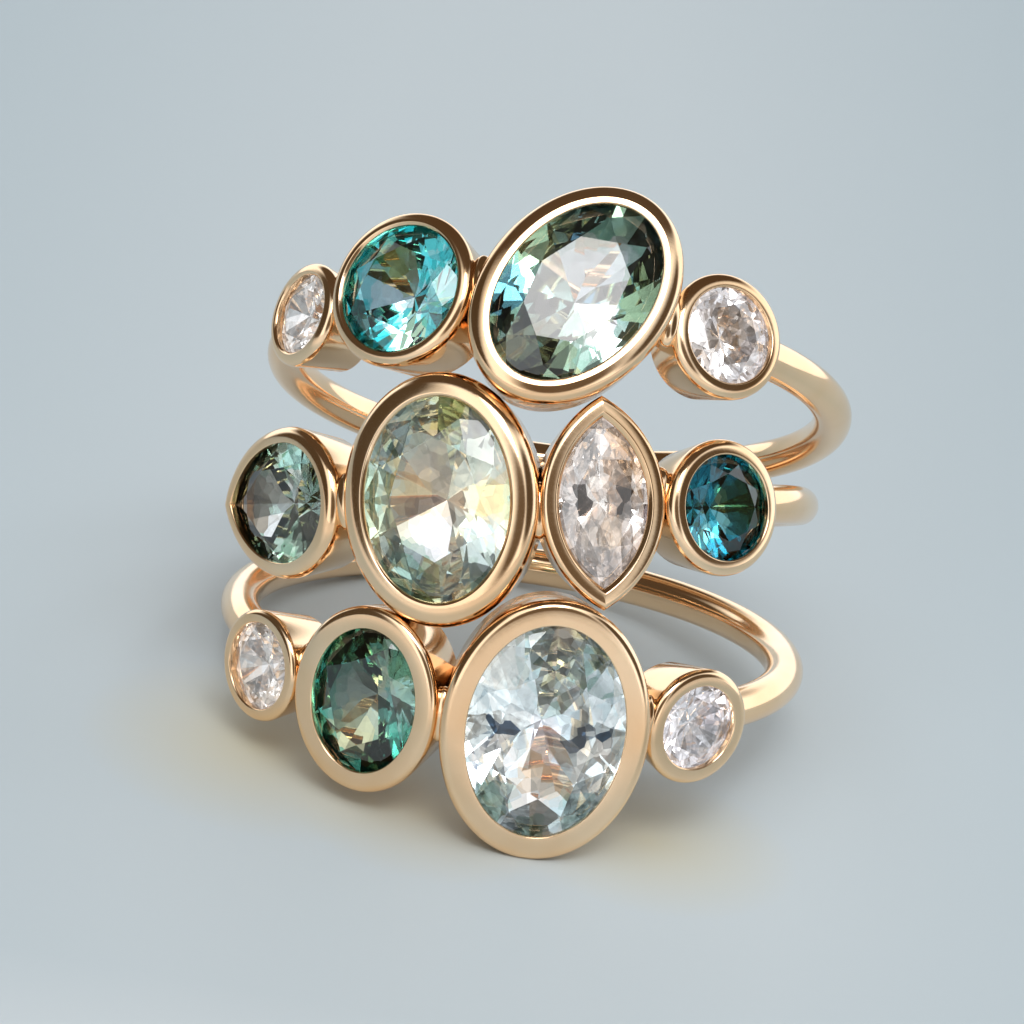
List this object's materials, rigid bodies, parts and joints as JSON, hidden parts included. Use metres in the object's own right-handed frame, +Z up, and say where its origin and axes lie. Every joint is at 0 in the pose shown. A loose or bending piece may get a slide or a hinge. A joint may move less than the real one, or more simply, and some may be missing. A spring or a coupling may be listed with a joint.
{
  "type": "three-band gemstone ring",
  "caption": "Finger ring of thin gold bands that fan out from the back, each carrying a row of bezel-set faceted stones in mixed oval, round, pear and marquise cuts.",
  "frame": {"origin": "under the middle of the part's box, on the surface that the ring lies on", "axes": "+Z up from the surface; -Y towards the stones at the front; +X to the right as seen from the front; the finger axis leans from +Z"},
  "size_m": [0.0204, 0.0226, 0.02],
  "materials": {
    "gold": "polished 14 karat rose-yellow gold",
    "white": "faceted and polished white stone",
    "teal": "faceted and polished teal stone",
    "deep_teal": "faceted and polished dark teal stone",
    "mint": "faceted and polished pale mint stone",
    "sage": "faceted and polished sage green stone",
    "aqua": "faceted and polished pale aqua stone",
    "green": "faceted and polished deep green stone",
    "olive": "faceted and polished dark olive stone",
    "champagne": "faceted and polished champagne stone"
  },
  "bodies": {
    "root": {"top_band": "gold", "middle_band": "gold", "bottom_band": "gold", "top_round_small": "white", "top_round_teal": "teal", "top_oval_large": "mint", "top_round_right": "white", "middle_pear": "olive", "middle_oval_large": "sage", "middle_marquise": "champagne", "middle_round_teal": "deep_teal", "bottom_round_left": "white", "bottom_oval_small": "green", "bottom_oval_large": "aqua", "bottom_round_right": "white"}
  },
  "joints": []
}
